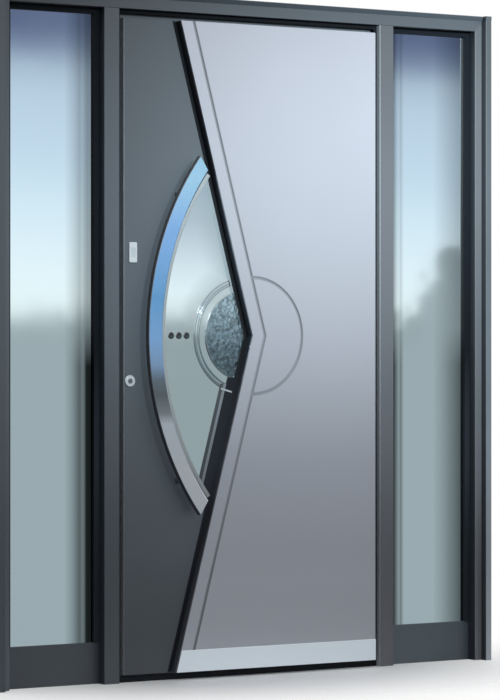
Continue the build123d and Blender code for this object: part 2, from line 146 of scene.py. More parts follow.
def noise(tree, place, scale, detail):
    inputs = {"Vector": place, "Scale": scale, "Detail": detail}
    return addNode(tree, "ShaderNodeTexNoise", inputs).outputs["Fac"]


def remap(tree, value, low, high, toLow=0.0, toHigh=1.0, smooth=False):
    return addNode(tree, "ShaderNodeMapRange", {
        "Value": value, "From Min": low, "From Max": high, "To Min": toLow, "To Max": toHigh,
    }, clamp=True, interpolation_type="SMOOTHSTEP" if smooth else "LINEAR").outputs["Result"]


def fromNoise(tree, value, low, high):
    return remap(tree, value, *noiseRange, low, high)


def between(tree, value, low, high):
    return times(tree, mathNode(tree, "GREATER_THAN", value, low), mathNode(tree, "LESS_THAN", value, high))


def mixColor(tree, amount, first, second):
    # a Mix node's color sockets go by number: the amount, the two colors and the result
    return addNode(tree, "ShaderNodeMix", {0: amount, 6: first, 7: second}, data_type="RGBA").outputs[2]


def colorRamp(tree, amount, stops):
    made = addNode(tree, "ShaderNodeValToRGB", {"Fac": amount})
    elements = made.color_ramp.elements
    while len(elements) < len(stops):
        elements.new(0.5)  # halfway for now; the loop below gives each stop its place
    for element, (place, color) in zip(elements, stops):
        element.position = place
        element.color = (*color, 1)
    return made.outputs["Color"]


def shareRamp(tree, place, rows, reach, topShare=1.0):
    # the share at each place up to this reach, from rows of place and share
    stops = [(spot / reach, (share / topShare,) * 3) for spot, share in rows]
    return colorRamp(tree, divide(tree, place, reach), stops)


def shareByHeight(tree, height, rows):
    topShare = toneScale["topShare"]
    return times(tree, shareRamp(tree, height, rows, toneScale["reach"], topShare), topShare)


def scaleColor(tree, color, share):
    return addNode(tree, "ShaderNodeVectorMath", {0: color, "Scale": share}, operation="SCALE").outputs[0]


def onFace(tree, node, axis):
    # whether a point lies on the low face of this node: its front across Y, its left side across X
    place = splitPlace(tree, objectPlace(tree))[axis]
    return mathNode(tree, "LESS_THAN", place, getattr(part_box(node)[0], axis.lower()) + faceDepth)


# Shader groups that several finishes share
def newGroup(name, inputs, outputs):
    tree = bpy.data.node_groups.new(name, "ShaderNodeTree")
    for label, kind, default in inputs:
        socket = tree.interface.new_socket(label, in_out="INPUT", socket_type="NodeSocket" + kind)
        socket.default_value = default
    for label in outputs:
        tree.interface.new_socket(label, in_out="OUTPUT", socket_type="NodeSocketFloat")
    return tree, addNode(tree, "NodeGroupInput").outputs, addNode(tree, "NodeGroupOutput").inputs


coatNoises = {"Grain": (900.0, 2.0), "Cloud": (2.0, 3.0)}  # scale where a finish sets none, and detail


def makeCoatGrain():
    inputs = [(label + " Scale", "Float", scale) for label, (scale, detail) in coatNoises.items()]
    tree, given, out = newGroup("coatGrain", inputs, coatNoises)
    place = objectPlace(tree)
    for label, (scale, detail) in coatNoises.items():
        feed(tree, out[label], noise(tree, place, given[label + " Scale"], detail))
    return tree


brushNoise = {"stretch": (6.0, 900.0, 900.0), "scale": 1.0, "detail": 4.0}


def makeBrushLines():
    tree, given, out = newGroup("brushLines", [("Stretch", "Vector", brushNoise["stretch"])], ["Streak"])
    place = vectorNode(tree, "MULTIPLY", objectPlace(tree), given["Stretch"])
    feed(tree, out["Streak"], noise(tree, place, brushNoise["scale"], brushNoise["detail"]))
    return tree


def makeArrowDistance():
    # a point's distance from the arrow edge, positive to the right, its height and its distance from the tip
    inputs = [("Tip X", "Float", tipX), ("Tip Z", "Float", tipZ)]
    tree, given, out = newGroup("arrowDistance", inputs, ["Distance", "Height", "From Tip"])
    place = splitPlace(tree, objectPlace(tree))
    rise = mathNode(tree, "ABSOLUTE", minus(tree, place["Z"], given["Tip Z"]))
    across = minus(tree, place["X"], given["Tip X"])
    level = plus(tree, across, times(tree, rise, math.tan(arrowAngle)))
    feed(tree, out["Distance"], times(tree, level, math.cos(arrowAngle)))
    feed(tree, out["Height"], place["Z"])
    feed(tree, out["From Tip"], lengthOf(tree, across, rise))
    return tree


coatGrain = makeCoatGrain()
brushLines = makeBrushLines()
arrowDistance = makeArrowDistance()


def placeGroup(tree, group, **values):
    return addNode(tree, "ShaderNodeGroup", values, node_tree=group).outputs


def placeGrain(tree, look):
    scales = {"Grain Scale": look.get("grainScale"), "Cloud Scale": look["cloudScale"]}
    return placeGroup(tree, coatGrain, **{label: scale for label, scale in scales.items() if scale})


def newFinish(name, **plain):
    material = bpy.data.materials.new(name)
    material.use_nodes = True
    shader = material.node_tree.nodes["Principled BSDF"].inputs
    for label, value in plain.items():
        shader[label].default_value = value
    return material, material.node_tree, shader


def addBump(tree, shader, height, look):
    inputs = {"Strength": look["bump"], "Distance": look["bumpDistance"], "Height": height}
    feed(tree, shader["Normal"], addNode(tree, "ShaderNodeBump", inputs).outputs["Normal"])


def roughen(tree, shader, value, look):
    feed(tree, shader["Roughness"], fromNoise(tree, value, look["roughLow"], look["roughHigh"]))


def cloudyCoat(tree, shader, look, color, rough):
    # the color varies in soft patches and the roughness in a fine grain
    grain = placeGrain(tree, look)
    dark, light = (tuple(part * share for part in color) + (1,) for share in look["shares"])
    feed(tree, shader["Base Color"], mixColor(tree, grain["Cloud"], dark, light))
    spread = look["roughSpread"]
    feed(tree, shader["Roughness"], fromNoise(tree, grain["Grain"], rough - spread, rough + spread))
    return grain["Grain"]


# Finishes
powderCoat = {
    "dark": (0.072, 0.084, 0.098),
    "light": (0.083, 0.096, 0.111),
    "specular": 0.75,
    "roughLow": 0.40,
    "roughHigh": 0.52,
    "grainScale": 1400.0,
    "cloudScale": 3.0,
    "bump": 0.25,
    "bumpDistance": 0.0002,
    "plainTint": (1.0, 1.0, 1.0),
    # painted light for a left side in shade in the gap round the leaf, painted shade for a left side beside
    # glass
    "paleSide": (0.70, 0.74, 0.78, 1),
    "darkSide": (0.029, 0.036, 0.046, 1),
}
# Bars that differ from the plain coat: a painted lighter or darker share of the whole bar, kind of painted
# left side, and rows of height and share of the painted light and shade on its front
barCoats = {
    "dark_panel": {"side": "paleSide", "tones": [(0.15, 0.92), (0.45, 1.4), (0.90, 1.1), (1.30, 1.0)]},
    "lock_stile": {"side": "paleSide"},
    "left_mullion": {"tint": (1.04, 1.04, 1.06), "side": "darkSide"},
    "right_mullion": {
        "tint": (1.21, 1.06, 1.02),
        "side": "paleSide",
        "tones": [(0.25, 1.6), (0.97, 1.13), (1.50, 1.02), (2.10, 0.8)],
    },
    "right_bottom_rail": {"tint": (1.6, 1.75, 1.75)},
    "head_rail": {"tint": (0.79, 0.78, 0.78)},
    "left_jamb": {"tint": (1.95, 1.95, 1.95)},
    "right_jamb": {
        "tint": (1.26, 1.12, 1.06),
        "side": "darkSide",
        "tones": [(0.25, 2.6), (0.62, 2.6), (0.97, 1.58), (1.26, 1.22), (1.50, 1.1), (1.90, 0.95)],
    },
    "left_casing": {"tones": [(0.10, 1.05), (0.70, 1.6), (1.60, 1.55), (2.20, 2.2)]},
    "right_casing": {
        "tint": (1.25, 1.2, 1.15),
        "side": "darkSide",
        "tones": [(0.25, 6.2), (0.62, 4.1), (0.97, 1.9), (1.26, 1.2), (1.50, 0.86), (2.10, 0.58)],
    },
}


def anthraciteFinish(name, node=None):
    look, own = powderCoat, barCoats.get(node, {})
    material, tree, shader = newFinish(name, **{"Specular IOR Level": look["specular"]})
    grain = placeGrain(tree, look)
    # painted light: each bar is a lighter or darker copy of the one coat
    tint = own.get("tint", look["plainTint"])
    dark, light = (tuple(part * share for part, share in zip(look[tone], tint)) + (1,)
                   for tone in ("dark", "light"))
    body = mixColor(tree, grain["Cloud"], dark, light)
    if "tones" in own:
        # painted light and shade: the front of this bar is paler or darker by height
        height = splitPlace(tree, objectPlace(tree))["Z"]
        share = shareByHeight(tree, height, own["tones"])
        body = scaleColor(tree, body, remap(tree, onFace(tree, node, "Y"), 0.0, 1.0, 1.0, share))
    if "side" in own:
        # painted light and shade on the left side of this bar: grey where it lies in shade in the gap round
        # the leaf, black beside glass
        body = mixColor(tree, onFace(tree, node, "X"), body, look[own["side"]])
    feed(tree, shader["Base Color"], body)
    roughen(tree, shader, grain["Grain"], look)
    addBump(tree, shader, grain["Grain"], look)
    return material


silverCoat = {
    "dark": (0.525, 0.516, 0.56, 1),
    "light": (0.585, 0.576, 0.62, 1),
    "groove": (0.345, 0.345, 0.37, 1),
    "tones": [  # height, share of the tone: painted light and shade by height
        (0.20, 1.07), (0.33, 1.07), (0.44, 1.0), (0.76, 0.90),
        (1.10, 0.95), (1.72, 0.99), (2.00, 1.06), (2.15, 1.09),
    ],
    "grooveFrom": 0.0432,
    "grooveTo": 0.0560,
    "circleFrom": 0.2008,
    "circleTo": 0.2132,
    "metal": 0.6,
    "roughLow": 0.26,
    "roughHigh": 0.32,
    "grainScale": 2200.0,
    "cloudScale": 2.0,
    "bump": 0.12,
    "bumpDistance": 0.0001,
}


def silverFinish():
    look = silverCoat
    material, tree, shader = newFinish("silverCoat", Metallic=look["metal"])
    grain = placeGrain(tree, look)
    edge = placeGroup(tree, arrowDistance)
    body = mixColor(tree, grain["Grain"], look["dark"], look["light"])
    body = scaleColor(tree, body, shareByHeight(tree, edge["Height"], look["tones"]))
    # the grooves are drawn as darker lines: painted shade standing for their recess
    inGroove = between(tree, edge["Distance"], look["grooveFrom"], look["grooveTo"])
    inCircle = between(tree, edge["From Tip"], look["circleFrom"], look["circleTo"])
    pastGroove = mathNode(tree, "GREATER_THAN", edge["Distance"], look["grooveTo"])
    shadedGroove = greater(tree, inGroove, times(tree, inCircle, pastGroove))
    feed(tree, shader["Base Color"], mixColor(tree, shadedGroove, body, look["groove"]))
    rough = remap(tree, grain["Cloud"], 0.0, 1.0, look["roughLow"], look["roughHigh"])
    feed(tree, shader["Roughness"], rough)
    addBump(tree, shader, grain["Grain"], look)
    return material


mattBlack = {
    "specular": 0.12,
    "shares": (1.0, 1.5),  # least and greatest share of the color
    "roughSpread": 0.06,
    "cloudScale": 6.0,
    "bump": 0.2,
    "bumpDistance": 0.0002,
}
blackCoats = {  # slot or node: name, color, roughness, grain scale
    "black_profile": ("blackProfile", (0.012, 0.014, 0.018), 0.45, 1200.0),
    "black_seal": ("blackRubber", (0.005, 0.006, 0.008), 0.7, 700.0),
    # the posts are lightened to offset the shade they stand in behind the bow: painted light
    "bow_posts": ("postBlack", (0.22, 0.25, 0.28), 0.4, 1200.0),
}


def blackFinish(name, color, rough, grainScale):
    look = {**mattBlack, "grainScale": grainScale}
    material, tree, shader = newFinish(name, **{"Specular IOR Level": look["specular"]})
    addBump(tree, shader, cloudyCoat(tree, shader, look, color, rough), look)
    return material


edgeBlack = {  # painted light and shade: greyer towards the floor, where these faces catch light from above, blacker at the head; the core is lightened as it lies in shade
    "channel": ((0.034, 0.037, 0.046, 1), (0.0085, 0.0095, 0.012, 1)),
    "core": ((0.120, 0.132, 0.155, 1), (0.075, 0.084, 0.104, 1)),
    "stop": ((0.042, 0.052, 0.064, 1), (0.006, 0.008, 0.012, 1)),
    "low": 0.75,
    "high": 1.15,
    "rough": 0.5,
}


def edgeBlackFinish(piece):
    look = edgeBlack
    material, tree, shader = newFinish(
        piece + "Black", Roughness=look["rough"], **{"Specular IOR Level": mattBlack["specular"]})
    level = remap(tree, placeGroup(tree, arrowDistance)["Height"], look["low"], look["high"])
    feed(tree, shader["Base Color"], mixColor(tree, level, *look[piece]))
    return material


brushedSteel = {
    "dark": (0.52, 0.53, 0.55, 1),
    "light": (0.70, 0.71, 0.73, 1),
    "metal": 1.0,
    "roughLow": 0.24,
    "roughHigh": 0.38,
    "stretch": (900.0, 900.0, 8.0),
    "bump": 0.1,
    "bumpDistance": 0.0001,
}
kickSteel = {
    **brushedSteel,
    "dark": (0.84, 0.89, 0.93, 1),
    "light": (0.95, 0.98, 1.0, 1),
    "roughLow": 0.44,
    "roughHigh": 0.54,
    "stretch": (8.0, 900.0, 900.0),
}


def steelFinish(name, look):
    material, tree, shader = newFinish(name, Metallic=look["metal"])
    streak = placeGroup(tree, brushLines, Stretch=look["stretch"])["Streak"]
    feed(tree, shader["Base Color"], mixColor(tree, streak, look["dark"], look["light"]))
    roughen(tree, shader, streak, look)
    addBump(tree, shader, streak, look)
    return material


bowSteel = {
    "tints": [  # share of the bow's height, tint: a painted reflection of sky and ground
        (0.10, (0.80, 0.75, 0.77)),
        (0.255, (0.746, 0.72, 0.77)),
        (0.285, (0.35, 0.35, 0.37)),
        (0.335, (0.20, 0.204, 0.215)),
        (0.375, (0.22, 0.25, 0.30)),
        (0.42, (0.36, 0.50, 0.73)),
        (0.49, (0.335, 0.56, 0.92)),
        (0.60, (0.206, 0.449, 0.76)),
        (0.795, (0.344, 0.564, 0.92)),
        (0.934, (0.556, 0.835, 1.0)),
    ],
    "metal": 1.0,
    "roughLow": 0.10,
    "roughHigh": 0.16,
    "stretch": (700.0, 700.0, 12.0),
    "sideCoat": ((0.085, 0.092, 0.105), 0.45, 0.1),  # color, roughness, metal: painted shade for the bow's sides
}


def bowFinish():
    look = bowSteel
    material, tree, shader = newFinish("polishedBow", Metallic=look["metal"])
    # painted reflection: the color runs by height, pale grey ground below, a dark band, blue sky above
    level = remap(tree, placeGroup(tree, arrowDistance)["Height"], bowLow.z, bowHigh.z)
    feed(tree, shader["Base Color"], colorRamp(tree, level, look["tints"]))
    roughen(tree, shader, placeGroup(tree, brushLines, Stretch=look["stretch"])["Streak"], look)
    return material


satinGlass = {
    "body": (0.88, 0.95, 0.97, 1),
    "metal": 1.0,
    "left": 0.04,  # roughness of each pane
    "right": 0.03,
    "leastRough": 0.7,  # shares of it
    "mostRough": 1.4,
    "cloudScale": 3.0,
    "reach": 0.34,  # width that the rows below cover
    "low": 1.10,  # heights between which the painted dark of the border below the horizon pales
    "high": 1.24,
}
# The satin field ends before the edge of the pane in a clear border. Its tones are painted reflection and
# shade: a thin line, lines mirrored from the mullion, darker below the horizon and towards the jamb. Each
# row holds the distance from the mullion and the share of the satin tone there.
paintedBorderShade = {
    "leftLow": [(0.042, 0.03), (0.048, 0.06), (0.054, 0.34), (0.061, 0.41), (0.0735, 0.28), (0.085, 0.44),
                (0.100, 0.66), (0.132, 1.0)],
    "leftHigh": [(0.042, 0.41), (0.052, 0.50), (0.060, 0.62), (0.0735, 0.57), (0.092, 0.74), (0.132, 1.0)],
    "rightLow": [(0.034, 0.10), (0.047, 0.46), (0.056, 0.75), (0.0645, 0.46), (0.078, 1.0), (0.210, 1.0),
                 (0.250, 0.76), (0.285, 0.53), (0.330, 0.27)],
    "rightHigh": [(0.034, 0.41), (0.047, 0.78), (0.056, 0.88), (0.0645, 0.74), (0.078, 1.0), (0.210, 1.0),
                  (0.254, 0.83), (0.325, 0.57)],
}


def sidelightFinish(side):
    look = satinGlass
    material, tree, shader = newFinish(side + "SidelightGlass", Metallic=look["metal"])
    place = splitPlace(tree, objectPlace(tree))
    fromDoor = minus(tree, mathNode(tree, "ABSOLUTE", place["X"]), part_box("right_mullion")[1].x)
    # painted reflection and shade along the border, one set of rows below the horizon and one above
    low, high = (shareRamp(tree, fromDoor, paintedBorderShade[side + level], look["reach"])
                 for level in ("Low", "High"))
    share = mixColor(tree, remap(tree, place["Z"], look["low"], look["high"]), low, high)
    share = mixColor(tree, onFace(tree, side + "_glass", "Y"), white, share)
    feed(tree, shader["Base Color"], mixColor(tree, share, black, look["body"]))
    least, most = look[side] * look["leastRough"], look[side] * look["mostRough"]
    feed(tree, shader["Roughness"], fromNoise(tree, placeGrain(tree, look)["Cloud"], least, most))
    return material


lensGlass = {
    "tints": [  # share of the lens's height, tint: a painted reflection
        (0.30, (0.77, 0.83, 0.84)),
        (0.46, (0.77, 0.83, 0.84)),
        (0.56, (0.84, 0.90, 0.92)),
        (0.64, (0.85, 0.92, 0.95)),
        (0.72, (0.77, 0.82, 0.85)),
        (0.86, (0.58, 0.62, 0.65)),
    ],
    "roughLow": 0.03,
    "roughHigh": 0.06,
    "cloudScale": 4.0,
    "edgeTint": (0.49, 0.545, 0.56, 1),
    "edgeFrom": -0.115,
    "edgeTo": -0.013,
    "edgeFade": 1.4,
    "edgeRise": 0.03,
    "ringFrom": 0.295,
    "ringTo": 0.200,
    "ringShare": 0.8,
    "ringLow": 0.05,
    "ringHigh": 0.12,
}


def lensFinish():
    # a painted reflection by height, and painted shade that makes it greyer along the upper channel and
    # within the rings above the tip
    look = lensGlass
    material, tree, shader = newFinish("lensGlass", Metallic=satinGlass["metal"])
    edge = placeGroup(tree, arrowDistance)
    level = remap(tree, edge["Height"], lensLow.z, lensHigh.z)
    nearEdge = remap(tree, edge["Distance"], look["edgeFrom"], look["edgeTo"])
    above = remap(tree, edge["Height"], tipZ - look["edgeRise"], tipZ + look["edgeRise"])
    alongEdge = times(tree, mathNode(tree, "POWER", nearEdge, look["edgeFade"]), above)
    inRings = remap(tree, edge["From Tip"], look["ringFrom"], look["ringTo"], 0.0, look["ringShare"])
    high = remap(tree, edge["Height"], tipZ + look["ringLow"], tipZ + look["ringHigh"])
    paintedShade = greater(tree, alongEdge, times(tree, inRings, high))
    tint = colorRamp(tree, level, look["tints"])
    feed(tree, shader["Base Color"], mixColor(tree, paintedShade, tint, look["edgeTint"]))
    roughen(tree, shader, placeGrain(tree, look)["Cloud"], look)
    return material


rippledGlass = {
    "tints": [  # share of the disc's height, tint: painted light, paler towards the top
        (0.16, (0.130, 0.170, 0.190)),
        (0.33, (0.160, 0.210, 0.235)),
        (0.50, (0.230, 0.300, 0.335)),
        (0.67, (0.310, 0.390, 0.425)),
        (0.84, (0.390, 0.480, 0.515)),
    ],
    "dark": 0.62,  # shares of the tint
    "light": 1.30,
    "metal": 0.75,
    "rough": 0.10,
    "cloudScale": 85.0,
    "cloudRange": (0.35, 0.65),
}


def rippledFinish():
    look = rippledGlass
    material, tree, shader = newFinish("rippledGlass", Metallic=look["metal"], Roughness=look["rough"])
    level = remap(tree, placeGroup(tree, arrowDistance)["Height"], discLow.z, discHigh.z)
    cloud = placeGrain(tree, look)["Cloud"]
    share = remap(tree, cloud, *look["cloudRange"], look["dark"], look["light"])
    feed(tree, shader["Base Color"], scaleColor(tree, colorRamp(tree, level, look["tints"]), share))
    return material


plainCoat = {"shares": (0.85, 1.0), "roughSpread": 0.05, "grainScale": 1500.0, "cloudScale": 20.0}
plainCoats = {  # slot or node: name, color, roughness, metal
    "reader_shell": ("readerShell", (0.74, 0.75, 0.77), 0.4, 0.0),
    "reader_glass": ("readerGlass", (0.64, 0.66, 0.68), 0.2, 0.0),
    "lock_rosette": ("rosetteSteel", (0.86, 0.88, 0.90), 0.25, 0.5),
    "lock_cylinder": ("cylinderSteel", (0.22, 0.23, 0.25), 0.3, 0.7),
}


def plainFinish(name, color, rough, metal):
    material, tree, shader = newFinish(name, Metallic=metal)
    cloudyCoat(tree, shader, plainCoat, color, rough)
    return material


gasket = {
    "pale": (0.30, 0.315, 0.315, 1),
    "black": (0.010, 0.012, 0.015, 1),
    "blackFrom": -0.02,
    "rough": 0.45,
}


def gasketFinish():
    # pale along the arc, black along the channel
    material, tree, shader = newFinish("lensGasket", Roughness=gasket["rough"])
    distance = placeGroup(tree, arrowDistance)["Distance"]
    nearChannel = mathNode(tree, "GREATER_THAN", distance, gasket["blackFrom"])
    feed(tree, shader["Base Color"], mixColor(tree, nearChannel, gasket["pale"], gasket["black"]))
    return material


def coatName(node):
    first, *rest = node.split("_")
    return first + "".join(word.title() for word in rest) + "Coat"


finishes = {  # by slot, or by node where a node has a finish of its own
    "anthracite": anthraciteFinish("anthraciteCoat"),
    "silver": silverFinish(),
    "stainless": steelFinish("brushedUpright", brushedSteel),
    "satin_glass": lensFinish(),
    "textured_glass": rippledFinish(),
    "lens_gasket": gasketFinish(),
    "kick_plate": steelFinish("brushedLevel", kickSteel),
    "arrow_channel": edgeBlackFinish("channel"),
    "silver_core": edgeBlackFinish("core"),
}
stopBlack = edgeBlackFinish("stop")
for side in ("left", "right"):
    finishes[side + "_glass"] = sidelightFinish(side)
    finishes[side + "_glazing_stop"] = stopBlack
finishes.update({node: anthraciteFinish(coatName(node), node) for node in barCoats})
finishes.update({key: blackFinish(*row) for key, row in blackCoats.items()})
finishes.update({key: plainFinish(*row) for key, row in plainCoats.items()})
slotOf = {row["node"]: row["material_slot"] for row in frame["record"]["subparts"]}
for name, piece in cadNodes.items():
    piece.data.materials.clear()
    piece.data.materials.append(finishes.get(name, finishes[slotOf[name]]))
print("finishes placed:", len(finishes))


# Geometry Nodes shapes that the pieces below are grown from
def newShape(name, inputs):
    tree = bpy.data.node_groups.new(name, "GeometryNodeTree")
    for label, kind in [("Geometry", "Geometry"), *inputs, ("Finish", "Material")]:
        tree.interface.new_socket(label, in_out="INPUT", socket_type="NodeSocket" + kind)
    tree.interface.new_socket("Geometry", in_out="OUTPUT", socket_type="NodeSocketGeometry")
    return tree, addNode(tree, "NodeGroupInput").outputs


def closeShape(tree, given, geometry):
    realize = addNode(tree, "GeometryNodeRealizeInstances", {"Geometry": geometry})
    paint = addNode(tree, "GeometryNodeSetMaterial", {
        "Geometry": realize.outputs["Geometry"], "Material": given["Finish"]})
    addNode(tree, "NodeGroupOutput", {"Geometry": paint.outputs["Geometry"]})


def pointPlace(tree):
    return splitPlace(tree, addNode(tree, "GeometryNodeInputPosition").outputs["Position"])


def polarPlace(tree, radius, angle, depth):
    # a point at this radius, turned up from the -X direction, in the upright plane
    flat = times(tree, radius, mathNode(tree, "COSINE", angle))
    rise = times(tree, radius, mathNode(tree, "SINE", angle))
    return joinPlace(tree, X=times(tree, flat, -1.0), Y=depth, Z=rise)


def movePoints(tree, mesh, spot, *offsets):
    for offset in offsets:
        spot = vectorNode(tree, "ADD", spot, offset)
    moved = addNode(tree, "GeometryNodeSetPosition", {"Geometry": mesh, "Position": spot})
    return moved.outputs["Geometry"]


cornerSteps = 3  # points that round each edge of a swept bar


def makeArcBar():
    # a bar with rounded edges swept along an arc; the ends may slant
    tree, given = newShape("arcBar", [
        ("Radius", "Float"), ("Width", "Float"), ("Depth", "Float"), ("Round", "Float"),
        ("Half Angle", "Float"), ("Slant", "Float"), ("Segments", "Int"), ("Center", "Vector"),
    ])
    arc = addNode(tree, "GeometryNodeCurveArc", {
        "Resolution": given["Segments"],
        "Radius": given["Radius"],
        "Start Angle": minus(tree, math.pi, given["Half Angle"]),
        "Sweep Angle": times(tree, given["Half Angle"], 2.0),
    }, mode="RADIUS")
    outline = addNode(tree, "GeometryNodeCurvePrimitiveQuadrilateral", {
        "Width": given["Width"], "Height": given["Depth"]})
    rounded = addNode(tree, "GeometryNodeFilletCurve", {
        "Curve": outline.outputs["Curve"],
        "Radius": given["Round"],
        "Count": cornerSteps,
        "Limit Radius": True,
    }, mode="POLY")
    upright = addNode(tree, "GeometryNodeSetCurveNormal", {"Curve": arc.outputs["Curve"]}, mode="Z_UP")
    sweep = addNode(tree, "GeometryNodeCurveToMesh", {
        "Curve": upright.outputs["Curve"], "Profile Curve": rounded.outputs["Curve"], "Fill Caps": True})
    across, along, depth = pointPlace(tree)
    radius = lengthOf(tree, across, along)
    angle = mathNode(tree, "ARCTAN2", along, times(tree, across, -1.0))
    outer = plus(tree, given["Radius"], divide(tree, given["Width"], 2.0))
    stretch = plus(tree, 1.0, times(tree, given["Slant"], minus(tree, outer, radius)))
    spot = polarPlace(tree, radius, times(tree, angle, stretch), depth)
    closeShape(tree, given, movePoints(tree, sweep.outputs["Mesh"], spot, given["Center"]))
    return tree


sectorGrid = {"turn": 110, "deep": 2, "out": 80, "inner": 0.02, "detail": 1.0, "pressRange": (0.25, 0.75)}
cubeHalf = 0.5  # a new mesh cube reaches this far from its middle


def makeRippledSector():
    # a slab between two rays from its inner tip, bounded by a circle, its front pressed into ripples
    tree, given = newShape("rippledSector", [
        ("Radius", "Float"), ("Shift", "Float"), ("Half Angle", "Float"), ("Thickness", "Float"),
        ("Ripple", "Float"), ("Ripple Scale", "Float"), ("Stretch", "Vector"), ("Center", "Vector"),
    ])
    grid = sectorGrid
    block = addNode(tree, "GeometryNodeMeshCube", {
        "Vertices X": grid["turn"], "Vertices Y": grid["deep"], "Vertices Z": grid["out"]})
    turn, deep, out = pointPlace(tree)
    angle = times(tree, turn, times(tree, given["Half Angle"], 2.0))
    drop = times(tree, given["Shift"], mathNode(tree, "SINE", angle))
    square = minus(tree, times(tree, given["Radius"], given["Radius"]), times(tree, drop, drop))
    shift = times(tree, given["Shift"], mathNode(tree, "COSINE", angle))
    rim = minus(tree, mathNode(tree, "SQRT", square), shift)
    radius = times(tree, rim, remap(tree, out, -cubeHalf, cubeHalf, grid["inner"], 1.0))
    flat = polarPlace(tree, radius, angle, times(tree, deep, given["Thickness"]))
    stretched = vectorNode(tree, "MULTIPLY", flat, given["Stretch"])
    wave = remap(tree, noise(tree, stretched, given["Ripple Scale"], grid["detail"]), *grid["pressRange"])
    onFront = mathNode(tree, "LESS_THAN", deep, 0.0)
    pressed = joinPlace(tree, Y=times(tree, times(tree, wave, given["Ripple"]), onFront))
    closeShape(tree, given, movePoints(tree, block.outputs["Mesh"], flat, given["Center"], pressed))
    return tree


def makeRowOf():
    # one shape repeated in a straight row of rows
    tree, given = newShape("rowOf", [
        ("Shape", "Object"), ("Start", "Vector"), ("Count", "Int"), ("Step", "Vector"),
        ("Rows", "Int"), ("Row Step", "Vector"),
    ])
    shape = addNode(tree, "GeometryNodeObjectInfo", {"Object": given["Shape"]}, transform_space="ORIGINAL")
    row = addNode(tree, "GeometryNodeMeshLine", {
        "Count": given["Count"], "Start Location": given["Start"], "Offset": given["Step"]}, mode="OFFSET")
    oneRow = addNode(tree, "GeometryNodeInstanceOnPoints", {
        "Points": row.outputs["Mesh"], "Instance": shape.outputs["Geometry"]})
    rows = addNode(tree, "GeometryNodeMeshLine", {
        "Count": given["Rows"], "Offset": given["Row Step"]}, mode="OFFSET")
    allRows = addNode(tree, "GeometryNodeInstanceOnPoints", {
        "Points": rows.outputs["Mesh"], "Instance": oneRow.outputs["Instances"]})
    closeShape(tree, given, allRows.outputs["Instances"])
    return tree


arcBar = makeArcBar()
rippledSector = makeRippledSector()
rowOf = makeRowOf()

mergeDistance = 1e-6
plainSharp = 35.0  # degrees between faces from which an edge is drawn sharp


def softenShading(mesh, sharpDegrees):
    work = bmesh.new()
    work.from_mesh(mesh)
    bmesh.ops.remove_doubles(work, verts=work.verts, dist=mergeDistance)
    bmesh.ops.recalc_face_normals(work, faces=work.faces)
    for face in work.faces:
        face.smooth = True
    for edge in work.edges:
        edge.smooth = edge.calc_face_angle(0.0) < math.radians(sharpDegrees)
    work.to_mesh(mesh)
    work.free()


def settle(piece, body, nodes=(), sharpDegrees=plainSharp):
    softenShading(piece.data, sharpDegrees)
    if nodes:
        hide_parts(*nodes)
    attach(piece, body)


def newPiece(name, mesh):
    piece = bpy.data.objects.new(name, mesh)
    scene.collection.objects.link(piece)
    return piece


def closedMesh(name, work):
    bmesh.ops.recalc_face_normals(work, faces=work.faces)
    mesh = bpy.data.meshes.new(name)
    work.to_mesh(mesh)
    work.free()
    return mesh


def bridge(work, near, far):
    for number in range(len(near)):
        after = (number + 1) % len(near)
        work.faces.new((near[number], near[after], far[after], far[number]))


def grow(name, tree, **values):
    holder = newPiece(name, bpy.data.meshes.new(name))
    modifier = holder.modifiers.new(name, "NODES")
    modifier.node_group = tree
    for item in tree.interface.items_tree:
        label = item.name.replace(" ", "")
        label = label[0].lower() + label[1:]
        if item.in_out == "INPUT" and label in values:
            modifier[item.identifier] = values[label]
    solved = holder.evaluated_get(bpy.context.evaluated_depsgraph_get())
    mesh = bpy.data.meshes.new_from_object(solved)
    holder.modifiers.remove(modifier)
    holder.data = mesh
    return holder


def growRow(name, body, slotName, shape, rows=1, rowStep=(0, 0, 0), **values):
    settle(grow(name, rowOf, shape=shape, rows=rows, rowStep=rowStep, **values), body)
    bpy.data.objects.remove(shape)


def lathe(name, look, proud, axis="Y"):
    # a small head turned about an axis and closed at both ends, from shares of its radius and height
    work = bmesh.new()
    segments = look["segments"]
    rings = []
    for wide, high in look["profile"]:
        radius, depth = look["radius"] * wide, proud * high
        angles = [2 * math.pi * number / segments for number in range(segments)]
        rings.append([work.verts.new((radius * math.cos(angle), depth, radius * math.sin(angle)))
                      for angle in angles])
    for near, far in zip(rings, rings[1:]):
        bridge(work, near, far)
    work.faces.new(rings[0])
    work.faces.new(rings[-1])
    if axis == "X":
        bmesh.ops.rotate(work, verts=work.verts, matrix=Matrix.Rotation(-math.pi / 2, 3, "Z"))
    return newPiece(name, closedMesh(name, work))


def slab(name, outline, front, back, material):
    # a flat outline of (x, z) points given a front and a back
    work = bmesh.new()
    near = [work.verts.new((x, front, z)) for x, z in outline]
    far = [work.verts.new((x, back, z)) for x, z in outline]
    work.faces.new(near)
    work.faces.new(far)
    bridge(work, near, far)
    mesh = closedMesh(name, work)
    mesh.materials.append(material)
    return newPiece(name, mesh)


# Bow handle: polished front face with a painted reflection, sides painted dark as shade
bow = {
    "radius": 1.051,
    "width": 0.056,
    "round": 0.003,
    "endSlant": math.radians(32),
    "segments": 97,
    "sharpDegrees": 8.0,
    "outerSide": 0.97,  # a face takes the painted shade of the sides where its normal points less than this to the front or back
    "innerSide": 0.6,
}
bowCenterX = bowLow.x + bow["radius"]


